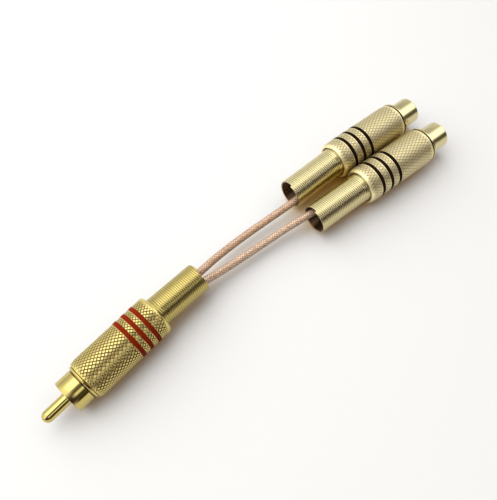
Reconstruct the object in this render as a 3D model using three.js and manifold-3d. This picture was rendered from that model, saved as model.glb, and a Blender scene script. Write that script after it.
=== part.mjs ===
import * as THREE from "three";
import Module from "manifold-3d";
import { mergeVertices } from "three/addons/utils/BufferGeometryUtils.js";

// A phono Y splitter cable: one plug, two in-line jacks and the two thin coaxial cables between them.
// Millimetres, +Z up. The whole lies on its three shells, with the plug's pin towards -X.
// Each connector is built along its own X: station 0 is the shell's front face, and the cable
// leaves towards +X. Radii are taken from that axis.

const wasm = await Module();
wasm.setup();

// Clearances: between fitted parts, between loosely placed ones, from end face to end face, and
// where a shell goes over the neck or the pin goes into its socket
const FIT_GAP = 0.05;
const LOOSE_GAP = 0.1;
const SEAM_GAP = 0.3;
const THREAD_GAP = 0.2;
const SOCKET_GAP = 0.0125;

// Springs: close-wound wire, with wide turns held behind the shell's rear lip
const SPRING_RADIUS = 4.25;
const WIRE_RADIUS = 0.265;
const WIRE_PITCH = 2 * WIRE_RADIUS + 0.045;
const SEAT_TURNS = 2;
const SPRING_CONE_LENGTH = 2.3;
const SPRING_CONE_GROWTH = 0.4;
const PLUG_SPRING_LENGTH = 14.9;
const JACK_SPRING_LENGTH = 18;
const PLUG_SPRING_SWAY = -0.72;
const JACK_A_SPRING_SWAY = 0.79;
const JACK_B_SPRING_SWAY = 0.19;

// Shells: screwed on from behind, the same tube for the plug and the jacks
const SHELL_RADIUS = 5.8;
const SHELL_WALL = 0.85;
const SHELL_BORE_RADIUS = SHELL_RADIUS - SHELL_WALL;
const SHELL_NOSE_DROP = 0.4;
const SHELL_NOSE_RADIUS = SHELL_RADIUS - SHELL_NOSE_DROP;
const SHELL_NOSE_LENGTH = 1.6;
const PLUG_SHELL_LENGTH = 23.4;
const JACK_SHELL_LENGTH = 25.3;
const PLUG_SHOULDER = { length: 0.95, drop: 0.7 };
const JACK_SHOULDER = { length: 1.9, drop: 0.95 };
const REAR_LIP = 0.8;
const REAR_HOLE_RADIUS = SPRING_RADIUS + SPRING_CONE_GROWTH + LOOSE_GAP;
const POCKET_STEP = 0.2;
const POCKET_RADIUS = SHELL_BORE_RADIUS + POCKET_STEP;
const POCKET_LENGTH = 1.9;

// Enamel bands, in grooves turned near the shell's rear, each by its distance from the rear end
const BAND_NAMES = ["front", "middle", "rear"];
const BAND_WIDTH = 1.22;
const BAND_DEPTH = 0.24;
const BAND_SINK = 0.03;
const PLUG_BANDS = [9.9, 7.3, 4.7];
const JACK_BANDS = [11.7, 8.45, 5.05];

// Turned bodies: a mating end in front, a flange, and a neck that the shell screws onto
const NECK_RADIUS = SHELL_BORE_RADIUS - THREAD_GAP;
const NECK_LENGTH = 5;
const NECK_WALL = 0.85;
const RING_RADIUS = 4.585;
const RING_WALL = 0.435;
const RING_BORE_RADIUS = RING_RADIUS - RING_WALL;
const RING_LENGTH = 5.33;
const FLANGE_THICKNESS = 0.6;
const PLUG_FLANGE_INSET = 0.25;
const PLUG_FLANGE_RADIUS = SHELL_NOSE_RADIUS - PLUG_FLANGE_INSET;
const BARREL_RADIUS = 4.125;
const BARREL_WALL = 0.575;
const BARREL_BORE_RADIUS = BARREL_RADIUS - BARREL_WALL;
const BARREL_LENGTH = 7.7;
const BARREL_ROUND = 0.3;
const JACK_FLANGE_INSET = 0.3;
const JACK_FLANGE_RADIUS = SHELL_RADIUS - JACK_FLANGE_INSET;

// Insulators and contacts
const PLUG_SEAT_RADIUS = NECK_RADIUS - NECK_WALL;
const PLUG_SEAT_RECESS = 0.3;
const JACK_INSULATOR_RECESS = 0.5;
const PIN_RADIUS = 1.5875;
const PIN_REACH = 7.37;
const PIN_NOSE_LENGTH = 1.5;
const SHANK_RADIUS = 1.3;
const SOCKET_WALL = 0.35;
const SOCKET_BORE_RADIUS = PIN_RADIUS + SOCKET_GAP;
const SOCKET_RADIUS = SOCKET_BORE_RADIUS + SOCKET_WALL;
const SOCKET_DEPTH = 8.4;
const SOCKET_SLIT = { width: 0.35, length: 4.5 };
const CUP_WALL = 0.55;
const CUP_BORE_RADIUS = SHANK_RADIUS - CUP_WALL;
const CUP_DEPTH = 2.4;
const CUP_REACH = 3.5;

// Coaxial cable, from the outside in, and where it lies below the axis inside a connector
const CABLE_RADIUS = 1.1;
const BRAID_RADIUS = 0.3;
const DIELECTRIC_RADIUS = 0.45;
const CONDUCTOR_RADIUS = 0.2;
const CABLE_DROP = 0.8;
const CABLE_SPACING = 2 * CABLE_RADIUS + SEAM_GAP;
const PIGTAIL_LENGTH = 4;
const CORE_STUB = 1;

// How far two cables' cores stay apart where they draw together, as a share of the cables' spacing
const CORE_GATHER = 0.8;

// Ground lugs: a washer behind the neck, a tongue and a crimp round the cable
const LUG_THICKNESS = 0.4;
const LUG_START = NECK_LENGTH + FIT_GAP;
const LUG_INSET = 0.2;
const LUG_RADIUS = NECK_RADIUS - LUG_INSET;
const LUG_HOLE_CLEARANCE = 0.8;
const LUG_HOLE_RADIUS = SHANK_RADIUS + LUG_HOLE_CLEARANCE;
const TONGUE_WIDTH = 3;
const CRIMP_REACH = 9;
const CRIMP_START = NECK_LENGTH + CRIMP_REACH;
const CRIMP_LENGTH = 3;
const JACKET_STUB = 1.5;
const JACKET_END = CRIMP_START - JACKET_STUB;

// Sleeves between the joints and the shell
const SLEEVE_RADIUS = NECK_RADIUS;
const SLEEVE_WALL = 0.2;
const SLEEVE_END_GAP = 0.5;
const SLEEVE_START = LUG_START + LUG_THICKNESS + SLEEVE_END_GAP;

// Where the jacks lie, seen from the plug: jack_a by its shell's front face, and jack_b beside it
const JACK_A = { x: 117.5, y: -7.6, yaw: -9 };
const JACK_SPLAY = 1.15;
const JACK_GAP = 0.14;
const JACK_B_BACK = 0.27;

// The cables' routes between the springs, chosen on the plug's axes, with height above the axis
const CABLE_A_ROUTE = [
  [35.4, 0.45, -0.35],
  [37.7, 0.34, -0.42],
  [40.0, 0.3, -0.6],
  [43.1, 0.41, -1.05],
  [46.2, 0.4, -1.47],
  [49.2, 0.29, -1.79],
  [52.2, 0.07, -2.02],
  [55.1, -0.23, -2.15],
  [58.0, -0.62, -2.2],
  [60.9, -1.08, -2.15],
  [63.7, -1.6, -2.02],
  [66.5, -2.16, -1.79],
  [69.3, -2.77, -1.47],
  [72.1, -3.4, -1.05],
  [74.8, -3.92, -0.62],
  [78.0, -4.3, -0.38],
];
const CABLE_B_ROUTE = [
  [35.4, -2.1, -0.35],
  [37.2, -2.36, -0.42],
  [39.1, -2.66, -0.6],
  [41.8, -3.11, -1.05],
  [44.6, -3.59, -1.47],
  [47.5, -4.07, -1.79],
  [50.4, -4.56, -2.02],
  [53.3, -5.07, -2.15],
  [56.2, -5.62, -2.2],
  [59.1, -6.19, -2.15],
  [62.1, -6.81, -2.02],
  [65.0, -7.47, -1.79],
  [67.8, -8.19, -1.47],
  [70.6, -9.05, -1.0],
  [73.3, -9.96, -0.55],
  [76.6, -10.9, -0.38],
];

// How round things are cut into flats
const ROUND_SIDES = 24;
const SMALL_SIDES = 16;
const WIRE_SIDES = 4;
const TURN_STEPS = 9;
const CABLE_SIDES = 8;
const ARC_STEPS = 3;
const JACKET_STEPS = 10;
const CORE_STEPS = 4;
const LENGTH_CHECKS = 4;

const GOLD = finish(0xd3bb57, 0.3, 1);
const PALE_GOLD = finish(0xcfc08d, 0.32, 1);
const SPRING_GOLD = finish(0xc9b25a, 0.35, 1);
const RED_ENAMEL = finish(0xa01d12, 0.35, 0);
const BLACK_ENAMEL = finish(0x17110f, 0.4, 0);
const NYLON = finish(0xe9e4d8, 0.5, 0);
const SLEEVE_PLASTIC = finish(0xd8d8cf, 0.4, 0);
const TINNED_STEEL = finish(0xb9b6ad, 0.4, 1);
const JACKET = finish(0xb58f76, 0.4, 0);
const BRAID = finish(0xb9a08c, 0.45, 1);
const DIELECTRIC = finish(0xf2f0ea, 0.5, 0);
const CONDUCTOR = finish(0xc9cacb, 0.35, 1);

function finish(color, roughness, metalness) {
  return new THREE.MeshStandardMaterial({ color, roughness, metalness });
}

function named(name, geometry, material) {
  const mesh = new THREE.Mesh(geometry, material);
  mesh.name = name;
  return mesh;
}

// Turns a profile of [station, radius] pairs about the connector's axis
function turned(profile, sides = ROUND_SIDES) {
  const points = profile.map(([station, radius]) => new THREE.Vector2(radius, station));
  return new THREE.LatheGeometry(points, sides).rotateZ(-Math.PI / 2);
}

// The same for a profile that doesn't reach the axis, closed on its first point
function turnedRing(profile, sides = ROUND_SIDES) {
  return turned([...profile, profile[0]], sides);
}

function tube(start, end, outer, inner, sides = ROUND_SIDES) {
  return turnedRing([[start, inner], [start, outer], [end, outer], [end, inner]], sides);
}

// A rounded corner from [station, radius] to the next, bulging away from the axis
function roundedDrop(start, length, radius, drop) {
  const points = [];
  for (let step = 0; step <= ARC_STEPS; step++) {
    const angle = (step / ARC_STEPS) * (Math.PI / 2);
    points.push([start + length * Math.sin(angle), radius - drop * (1 - Math.cos(angle))]);
  }
  return points;
}

function circle(radius, sides) {
  const points = [];
  for (let side = 0; side < sides; side++) {
    const angle = (side / sides) * 2 * Math.PI;
    points.push(new THREE.Vector2(radius * Math.cos(angle), radius * Math.sin(angle)));
  }
  return new THREE.Shape(points);
}

function alongCurve(curve, radius, sides, steps) {
  curve.arcLengthDivisions = steps * LENGTH_CHECKS;
  return new THREE.ExtrudeGeometry(circle(radius, sides), { steps, extrudePath: curve });
}

function smoothCurve(points) {
  return new THREE.CatmullRomCurve3(points, false, "centripetal");
}

function toSolid(geometry) {
  const bare = new THREE.BufferGeometry();
  bare.setAttribute("position", geometry.getAttribute("position"));
  bare.setIndex(geometry.index);
  const merged = mergeVertices(bare, 1e-4);
  const corners = merged.index.array;
  const triVerts = [];
  for (let i = 0; i < corners.length; i += 3) {
    const [a, b, c] = corners.slice(i, i + 3);
    if (a !== b && b !== c && c !== a) triVerts.push(a, b, c);
  }
  const vertProperties = new Float32Array(merged.getAttribute("position").array);
  const mesh = new wasm.Mesh({ numProp: 3, vertProperties, triVerts: new Uint32Array(triVerts) });
  return new wasm.Manifold(mesh);
}

function toGeometry(solid) {
  const { vertProperties, triVerts } = solid.getMesh();
  const geometry = new THREE.BufferGeometry();
  geometry.setAttribute("position", new THREE.BufferAttribute(vertProperties, 3));
  geometry.setIndex(new THREE.BufferAttribute(triVerts, 1));
  geometry.computeVertexNormals();
  return geometry;
}

function bandStarts(length, bands) {
  return bands.map((fromRear) => length - fromRear);
}

function shellGeometry(length, shoulder, bands) {
  const grooveRadius = SHELL_RADIUS - BAND_DEPTH;
  const grooves = bandStarts(length, bands).flatMap((start) => [
    [start, SHELL_RADIUS],
    [start, grooveRadius],
    [start + BAND_WIDTH, grooveRadius],
    [start + BAND_WIDTH, SHELL_RADIUS],
  ]);
  const lipFace = length - REAR_LIP;
  return turnedRing([
    [0, SHELL_BORE_RADIUS],
    [0, SHELL_NOSE_RADIUS],
    [SHELL_NOSE_LENGTH, SHELL_RADIUS],
    ...grooves,
    ...roundedDrop(length - shoulder.length, shoulder.length, SHELL_RADIUS, shoulder.drop),
    [length, REAR_HOLE_RADIUS],
    [lipFace, REAR_HOLE_RADIUS],
    [lipFace, POCKET_RADIUS],
    [lipFace - POCKET_LENGTH, POCKET_RADIUS],
    [lipFace - POCKET_LENGTH, SHELL_BORE_RADIUS],
  ]);
}

function bandMeshes(prefix, length, bands, material) {
  const outer = SHELL_RADIUS - BAND_SINK;
  const inner = SHELL_RADIUS - BAND_DEPTH + BAND_SINK;
  return bandStarts(length, bands).map((start, index) => {
    const geometry = tube(start + BAND_SINK, start + BAND_WIDTH - BAND_SINK, outer, inner);
    return named(`${prefix}_band_${BAND_NAMES[index]}`, geometry, material);
  });
}

// The spring's wire: wide seat turns, a cone through the shell's lip, then even turns that sway aside
class SpringWire extends THREE.Curve {
  constructor(shellLength, freeLength, sway) {
    super();
    this.coneEnd = shellLength + SPRING_CONE_LENGTH / 2;
    this.coneStart = this.coneEnd - SPRING_CONE_LENGTH;
    this.seatStart = shellLength - REAR_LIP - WIRE_RADIUS - SEAM_GAP - SEAT_TURNS * WIRE_PITCH;
    this.end = shellLength + freeLength - WIRE_RADIUS;
    this.turns = Math.round((this.end - this.seatStart) / WIRE_PITCH);
    this.sway = sway;
  }

  radiusAt(station) {
    const even = SPRING_RADIUS - WIRE_RADIUS;
    if (station >= this.coneEnd) return even;
    if (station > this.coneStart) {
      return even + (SPRING_CONE_GROWTH * (this.coneEnd - station)) / SPRING_CONE_LENGTH;
    }
    const seat = POCKET_RADIUS - LOOSE_GAP - WIRE_RADIUS;
    return Math.min(seat, even + SPRING_CONE_GROWTH + (this.coneStart - station));
  }

  swayAt(station) {
    const share = (station - this.coneEnd) / (this.end - this.coneEnd);
    return this.sway * Math.max(0, share);
  }

  getPoint(t, target = new THREE.Vector3()) {
    const station = this.seatStart + t * (this.end - this.seatStart);
    const angle = t * this.turns * 2 * Math.PI;
    const radius = this.radiusAt(station);
    return target.set(
      station,
      this.swayAt(station) + radius * Math.cos(angle),
      radius * Math.sin(angle),
    );
  }

  // Keeps one corner of the wire's section pointing straight out from the axis
  computeFrenetFrames(segments) {
    const frames = { tangents: [], normals: [], binormals: [] };
    for (let index = 0; index <= segments; index++) {
      const tangent = this.getTangentAt(index / segments);
      const normal = new THREE.Vector3(1, 0, 0).projectOnPlane(tangent).normalize();
      frames.tangents.push(tangent);
      frames.normals.push(normal);
      frames.binormals.push(new THREE.Vector3().crossVectors(tangent, normal));
    }
    return frames;
  }
}

function springGeometry(shellLength, freeLength, sway) {
  const wire = new SpringWire(shellLength, freeLength, sway);
  return alongCurve(wire, WIRE_RADIUS, WIRE_SIDES, wire.turns * TURN_STEPS);
}

function groundRing() {
  const flangeBack = -FIT_GAP;
  const flangeFront = flangeBack - FLANGE_THICKNESS;
  return turnedRing([
    [-RING_LENGTH, RING_BORE_RADIUS],
    [-RING_LENGTH, RING_RADIUS],
    [flangeFront, RING_RADIUS],
    [flangeFront, PLUG_FLANGE_RADIUS],
    [flangeBack, PLUG_FLANGE_RADIUS],
    [flangeBack, NECK_RADIUS],
    [NECK_LENGTH, NECK_RADIUS],
    [NECK_LENGTH, PLUG_SEAT_RADIUS],
    [-PLUG_SEAT_RECESS, PLUG_SEAT_RADIUS],
    [-PLUG_SEAT_RECESS, RING_BORE_RADIUS],
  ]);
}

function contactBarrel() {
  const flangeBack = -SEAM_GAP;
  const flangeFront = flangeBack - FLANGE_THICKNESS;
  const rim = roundedDrop(BARREL_LENGTH - BARREL_ROUND, BARREL_ROUND, BARREL_RADIUS, BARREL_ROUND);
  return turnedRing([
    ...rim.map(([station, radius]) => [-station, radius]).reverse(),
    [flangeFront, BARREL_RADIUS],
    [flangeFront, JACK_FLANGE_RADIUS],
    [flangeBack, JACK_FLANGE_RADIUS],
    [flangeBack, NECK_RADIUS],
    [NECK_LENGTH, NECK_RADIUS],
    [NECK_LENGTH, BARREL_BORE_RADIUS],
    [-BARREL_LENGTH, BARREL_BORE_RADIUS],
  ]);
}

// The solder cup's profile, from the part's body to the axis at the bottom of the cup
function cupProfile(radius) {
  const end = NECK_LENGTH + CUP_REACH;
  return [
    [end, radius],
    [end, CUP_BORE_RADIUS],
    [end - CUP_DEPTH, CUP_BORE_RADIUS],
    [end - CUP_DEPTH, 0],
  ];
}

function centrePin() {
  const tip = -RING_LENGTH - PIN_REACH;
  const nose = roundedDrop(0, PIN_NOSE_LENGTH, PIN_RADIUS, PIN_RADIUS);
  return turned([
    ...nose.map(([station, radius]) => [tip + PIN_NOSE_LENGTH - station, radius]).reverse(),
    [-PLUG_SEAT_RECESS - FIT_GAP, PIN_RADIUS],
    [-PLUG_SEAT_RECESS - FIT_GAP, SHANK_RADIUS],
    ...cupProfile(SHANK_RADIUS),
  ], SMALL_SIDES);
}

function centreSocket() {
  const front = -BARREL_LENGTH + JACK_INSULATOR_RECESS + FIT_GAP;
  const body = turned([
    [front + SOCKET_DEPTH, 0],
    [front + SOCKET_DEPTH, SOCKET_BORE_RADIUS],
    [front, SOCKET_BORE_RADIUS],
    [front, SOCKET_RADIUS],
    [NECK_LENGTH - LOOSE_GAP, SOCKET_RADIUS],
    [NECK_LENGTH - LOOSE_GAP, SHANK_RADIUS],
    ...cupProfile(SHANK_RADIUS),
  ], SMALL_SIDES);
  const reach = 2 * SOCKET_SLIT.length;
  const across = 3 * SOCKET_RADIUS;
  const upright = new THREE.BoxGeometry(reach, SOCKET_SLIT.width, across).translate(front, 0, 0);
  const level = new THREE.BoxGeometry(reach, across, SOCKET_SLIT.width).translate(front, 0, 0);
  return toGeometry(toSolid(body).subtract(toSolid(upright)).subtract(toSolid(level)));
}

function plugInsulator() {
  return tube(
    -PLUG_SEAT_RECESS,
    NECK_LENGTH - LOOSE_GAP,
    PLUG_SEAT_RADIUS - FIT_GAP,
    SHANK_RADIUS + LOOSE_GAP,
  );
}

function jackInsulator() {
  return tube(
    -BARREL_LENGTH + JACK_INSULATOR_RECESS,
    NECK_LENGTH - LOOSE_GAP,
    BARREL_BORE_RADIUS - FIT_GAP,
    SOCKET_RADIUS + LOOSE_GAP,
  );
}

// A flat oval, long way across, for one cable or for two side by side
function oval(radius, halfSpacing) {
  const shape = new THREE.Shape();
  shape.absarc(halfSpacing, 0, radius, -Math.PI / 2, Math.PI / 2);
  shape.absarc(-halfSpacing, 0, radius, Math.PI / 2, (3 * Math.PI) / 2);
  shape.closePath();
  return shape;
}

// Stands a shape drawn across the cable at a station, with its depth along the axis
function acrossAxis(shape, station, depth, curveSegments) {
  const geometry = new THREE.ExtrudeGeometry(shape, { depth, bevelEnabled: false, curveSegments });
  return geometry.rotateY(Math.PI / 2).rotateX(Math.PI / 2).translate(station, 0, 0);
}

function groundLug(halfSpacing) {
  const inner = CABLE_RADIUS + LOOSE_GAP;
  const outer = inner + LUG_THICKNESS;
  const washer = tube(LUG_START, LUG_START + LUG_THICKNESS, LUG_RADIUS, LUG_HOLE_RADIUS);
  const length = CRIMP_START + CRIMP_LENGTH - LUG_START;
  const tongue = new THREE.BoxGeometry(length, TONGUE_WIDTH, LUG_THICKNESS);
  tongue.translate(LUG_START + length / 2, 0, -CABLE_DROP - (inner + outer) / 2);
  const band = oval(outer, halfSpacing);
  band.holes.push(oval(inner, halfSpacing));
  const crimp = acrossAxis(band, CRIMP_START, CRIMP_LENGTH, ARC_STEPS * 2);
  crimp.translate(0, 0, -CABLE_DROP);
  return toGeometry(toSolid(washer).add(toSolid(tongue)).add(toSolid(crimp)));
}

function innerSleeve(shellLength) {
  const end = shellLength - REAR_LIP - POCKET_LENGTH - SLEEVE_END_GAP;
  return tube(SLEEVE_START, end, SLEEVE_RADIUS, SLEEVE_RADIUS - SLEEVE_WALL, SMALL_SIDES);
}

function plug() {
  const group = new THREE.Group();
  group.add(
    named("plug_centre_pin", centrePin(), GOLD),
    named("plug_ground_ring", groundRing(), GOLD),
    named("plug_insulator", plugInsulator(), NYLON),
    named("plug_ground_lug", groundLug(CABLE_SPACING / 2), TINNED_STEEL),
    named("plug_inner_sleeve", innerSleeve(PLUG_SHELL_LENGTH), SLEEVE_PLASTIC),
    named("plug_shell", shellGeometry(PLUG_SHELL_LENGTH, PLUG_SHOULDER, PLUG_BANDS), GOLD),
    ...bandMeshes("plug", PLUG_SHELL_LENGTH, PLUG_BANDS, RED_ENAMEL),
    named(
      "plug_spring",
      springGeometry(PLUG_SHELL_LENGTH, PLUG_SPRING_LENGTH, PLUG_SPRING_SWAY),
      SPRING_GOLD,
    ),
  );
  return group;
}

function jack(name, springSway) {
  const group = new THREE.Group();
  group.add(
    named(`${name}_contact_barrel`, contactBarrel(), PALE_GOLD),
    named(`${name}_insulator`, jackInsulator(), NYLON),
    named(`${name}_centre_contact`, centreSocket(), GOLD),
    named(`${name}_ground_lug`, groundLug(0), TINNED_STEEL),
    named(`${name}_inner_sleeve`, innerSleeve(JACK_SHELL_LENGTH), SLEEVE_PLASTIC),
    named(`${name}_shell`, shellGeometry(JACK_SHELL_LENGTH, JACK_SHOULDER, JACK_BANDS), PALE_GOLD),
    ...bandMeshes(name, JACK_SHELL_LENGTH, JACK_BANDS, BLACK_ENAMEL),
    named(
      `${name}_spring`,
      springGeometry(JACK_SHELL_LENGTH, JACK_SPRING_LENGTH, springSway),
      PALE_GOLD,
    ),
  );
  return group;
}

// Sets a jack down by its shell's rear end, facing away from the plug
function layJack(group, rear, yaw) {
  const heading = THREE.MathUtils.degToRad(180 + yaw);
  group.rotation.z = heading;
  group.position.set(
    rear.x - JACK_SHELL_LENGTH * Math.cos(heading),
    rear.y - JACK_SHELL_LENGTH * Math.sin(heading),
    0,
  );
  group.updateMatrixWorld(true);
}

function layJacks(jackA, jackB) {
  const heading = THREE.MathUtils.degToRad(JACK_A.yaw);
  const forward = new THREE.Vector3(Math.cos(heading), Math.sin(heading), 0);
  const right = new THREE.Vector3(Math.sin(heading), -Math.cos(heading), 0);
  const rearA = new THREE.Vector3(JACK_A.x, JACK_A.y, 0).addScaledVector(forward, -JACK_SHELL_LENGTH);
  const rearB = rearA
    .clone()
    .addScaledVector(right, 2 * SHELL_RADIUS + JACK_GAP)
    .addScaledVector(forward, -JACK_B_BACK);
  layJack(jackA, rearA, JACK_A.yaw);
  layJack(jackB, rearB, JACK_A.yaw - JACK_SPLAY);
}

function cable(name, route) {
  const curve = smoothCurve(route.map((point) => new THREE.Vector3(...point)));
  return named(name, alongCurve(curve, CABLE_RADIUS, CABLE_SIDES, route.length), JACKET);
}

// One end of a cable inside its connector: the jacket from the crimp to the free cable's end face,
// and in front of it the braid drawn onto the lug, the dielectric and the conductor in its cup
function cableEnd(prefix, connector, side, routeEnd, routeNext, shellLength) {
  const place = (station, across, height) =>
    new THREE.Vector3(station, across, height).applyMatrix4(connector.matrixWorld);
  const off = (side * CABLE_SPACING) / 2;
  const gathered = off * CORE_GATHER;
  const end = new THREE.Vector3(...routeEnd);
  const inward = end.clone().sub(new THREE.Vector3(...routeNext)).normalize();
  const jacket = smoothCurve([
    place(JACKET_END, off, -CABLE_DROP),
    place(CRIMP_START + CRIMP_LENGTH, off, -CABLE_DROP),
    place(shellLength, off, -CABLE_DROP),
    end.clone().addScaledVector(inward, SEAM_GAP + 2 * CABLE_RADIUS),
    end.clone().addScaledVector(inward, SEAM_GAP),
  ]);
  const bare = JACKET_END - 2 * LOOSE_GAP;
  const tongueTop = -CABLE_DROP - CABLE_RADIUS - LOOSE_GAP;
  const braidHeight = tongueTop + BRAID_RADIUS + FIT_GAP;
  const braid = smoothCurve([
    place(bare, off, braidHeight),
    place(bare - PIGTAIL_LENGTH / 2, (off + gathered) / 2, braidHeight),
    place(bare - PIGTAIL_LENGTH, gathered, braidHeight),
  ]);
  const cup = NECK_LENGTH + CUP_REACH;
  const inCup = side * (CONDUCTOR_RADIUS + LOOSE_GAP);
  const coreEnd = cup + CORE_STUB;
  const dielectric = smoothCurve([
    place(bare, off, -CABLE_DROP + LOOSE_GAP),
    place((bare + coreEnd) / 2, gathered, -CABLE_DROP / 2),
    place(coreEnd, side * (DIELECTRIC_RADIUS + LOOSE_GAP), -LOOSE_GAP),
  ]);
  const conductor = smoothCurve([
    place(coreEnd - FIT_GAP, side * (DIELECTRIC_RADIUS + LOOSE_GAP), -LOOSE_GAP),
    place(cup, inCup, 0),
    place(cup - CUP_DEPTH / 2, inCup, 0),
  ]);
  return [
    named(`${prefix}_jacket`, alongCurve(jacket, CABLE_RADIUS, CABLE_SIDES, JACKET_STEPS), JACKET),
    named(`${prefix}_braid`, alongCurve(braid, BRAID_RADIUS, CABLE_SIDES, CORE_STEPS), BRAID),
    named(
      `${prefix}_dielectric`,
      alongCurve(dielectric, DIELECTRIC_RADIUS, CABLE_SIDES, CORE_STEPS),
      DIELECTRIC,
    ),
    named(
      `${prefix}_conductor`,
      alongCurve(conductor, CONDUCTOR_RADIUS, CABLE_SIDES, CORE_STEPS),
      CONDUCTOR,
    ),
  ];
}

function splitterCable() {
  const plugGroup = plug();
  const jackA = jack("jack_a", JACK_A_SPRING_SWAY);
  const jackB = jack("jack_b", JACK_B_SPRING_SWAY);
  layJacks(jackA, jackB);
  plugGroup.updateMatrixWorld(true);
  const connectors = new THREE.Group();
  connectors.add(plugGroup, jackA, jackB);

  const whole = new THREE.Group();
  whole.add(connectors);
  const [a, b] = [CABLE_A_ROUTE, CABLE_B_ROUTE];
  whole.add(
    ...cableEnd("plug_cable_a", plugGroup, 1, a[0], a[1], PLUG_SHELL_LENGTH),
    ...cableEnd("plug_cable_b", plugGroup, -1, b[0], b[1], PLUG_SHELL_LENGTH),
    ...cableEnd("jack_a_cable", jackA, 0, a.at(-1), a.at(-2), JACK_SHELL_LENGTH),
    ...cableEnd("jack_b_cable", jackB, 0, b.at(-1), b.at(-2), JACK_SHELL_LENGTH),
    cable("cable_a", a),
    cable("cable_b", b),
  );

  // The origin is under the middle of the three connectors, on the surface that they lie on
  const box = new THREE.Box3().setFromObject(connectors, true);
  const middle = box.getCenter(new THREE.Vector3());
  whole.position.set(-middle.x, -middle.y, -box.min.z);
  return whole;
}

const group = splitterCable();
export default group;
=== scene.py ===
import math

import bmesh
import bpy
from bpy.props import FloatProperty, FloatVectorProperty, IntProperty, PointerProperty
from mathutils import Matrix, Vector


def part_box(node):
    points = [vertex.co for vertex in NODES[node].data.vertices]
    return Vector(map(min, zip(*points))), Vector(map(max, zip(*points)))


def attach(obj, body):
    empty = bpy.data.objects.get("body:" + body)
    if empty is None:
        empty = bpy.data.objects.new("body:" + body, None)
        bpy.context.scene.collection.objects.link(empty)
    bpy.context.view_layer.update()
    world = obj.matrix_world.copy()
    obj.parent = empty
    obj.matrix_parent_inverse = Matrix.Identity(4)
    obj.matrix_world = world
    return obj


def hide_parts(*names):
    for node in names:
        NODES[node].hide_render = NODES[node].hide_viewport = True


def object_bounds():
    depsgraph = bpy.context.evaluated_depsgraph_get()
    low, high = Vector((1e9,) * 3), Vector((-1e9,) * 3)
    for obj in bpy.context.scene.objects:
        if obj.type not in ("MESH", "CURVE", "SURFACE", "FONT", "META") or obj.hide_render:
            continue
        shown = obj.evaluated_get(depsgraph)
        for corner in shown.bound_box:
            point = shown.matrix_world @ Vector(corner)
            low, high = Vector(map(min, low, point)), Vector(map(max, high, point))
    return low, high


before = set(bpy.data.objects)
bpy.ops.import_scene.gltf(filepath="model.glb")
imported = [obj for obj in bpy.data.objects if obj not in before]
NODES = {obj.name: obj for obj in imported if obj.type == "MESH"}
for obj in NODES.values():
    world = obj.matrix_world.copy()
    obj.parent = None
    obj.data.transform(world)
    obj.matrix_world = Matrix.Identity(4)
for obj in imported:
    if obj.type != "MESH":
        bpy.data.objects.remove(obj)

bl_info = {
    "name": "Phono splitter cable",
    "version": (1, 0, 0),
    "blender": (4, 5, 0),
    "location": "View3D > Sidebar > Splitter",
    "description": "Builds the looks of a phono Y splitter cable round its packed solids",
    "category": "Object",
}

MM = 0.001
CAD_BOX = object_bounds()

# The connectors' own axes: station 0 is a shell's front face, and the cable leaves towards +X
RING_LOW, RING_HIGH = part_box("plug_ground_ring")
RING_LENGTH = 5.33
PLUG_AT = Vector((
    RING_LOW.x + RING_LENGTH * MM,
    (RING_LOW.y + RING_HIGH.y) / 2,
    (RING_LOW.z + RING_HIGH.z) / 2,
))
JACK_A_YAW = -9.0
JACK_SPLAY = 1.15
JACK_A_FACE = (117.5, -7.6)
JACK_GAP = 0.14
JACK_B_BACK = 0.27

# Sizes in millimetres, the same as the solids'
SHELL_RADIUS = 5.8
SHELL_BORE = 4.95
SHELL_NOSE = {"radius": 5.4, "length": 1.6}
PLUG_SHELL = {
    "length": 23.4, "shoulder": 0.95, "drop": 0.7, "fade": 0.1, "bands": (13.5, 16.1, 18.7),
}
JACK_SHELL = {
    "length": 25.3, "shoulder": 1.9, "drop": 0.95, "fade": 1.6, "bands": (13.6, 16.85, 20.25),
}
REAR_LIP = 0.8
REAR_HOLE = 4.75
POCKET = {"radius": 5.15, "length": 1.9}
BAND_WIDTH = 1.22
BAND_DEPTH = 0.24
BAND_SINK = 0.03
BAND_MARGIN = 0.12
KNURL_START = 0.35
FIT_GAP = 0.01
SPRING_RADIUS = 4.25
SPRING_CONE_LENGTH = 2.3
SPRING_CONE_GROWTH = 0.4
# Each spring's free length, and how far its mouth leans aside
FREE_SPRINGS = {"plug": (14.9, -0.72), "jack_a": (18, 0.79), "jack_b": (18, 0.19)}
CABLE_RADIUS = 1.1
CABLE_SPACING = 2.5
CABLE_DROP = 0.8
JACKET_END = 12.5
PIN_RADIUS = 1.5875
PIN_TIP = -12.7
RING_RADIUS = 4.585
BARREL_RADIUS = 4.125
BARREL_LENGTH = 7.7
NECK_RADIUS = 4.75
NECK_LENGTH = 5

# How finely the shapes are turned, wound and extruded
OUTER_STEPS = 96
SMALL_STEPS = 64
TUBE_SIDES = 24
WIRE_SIDES = 20
WIRE_STEPS = 32

# How far out the seam between two turns of wire lies, as a share of the wire's radius
WIRE_SEAM = 0.62

# The camera, in millimetres from the plug's station 0, and the stage in metres
CAMERA_AT = (5.43, -49.19, 123.98)
CAMERA_RIGHT = (0.6747, -0.7381, -0.0031)
CAMERA_FORWARD = (0.3408, 0.3153, -0.8857)
TABLE_SIZE = 1.2
TABLE_GAP = 0.00002
BACKDROP = (0.78, 0.78, 0.77, 1)
BUMP_HEIGHT = 0.00003

# The braid's two lays: strands round the cable, and strands in each centimetre of it
BRAID_LAYS = ((9.0, 15.0), (-9.0, 11.0))

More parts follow.
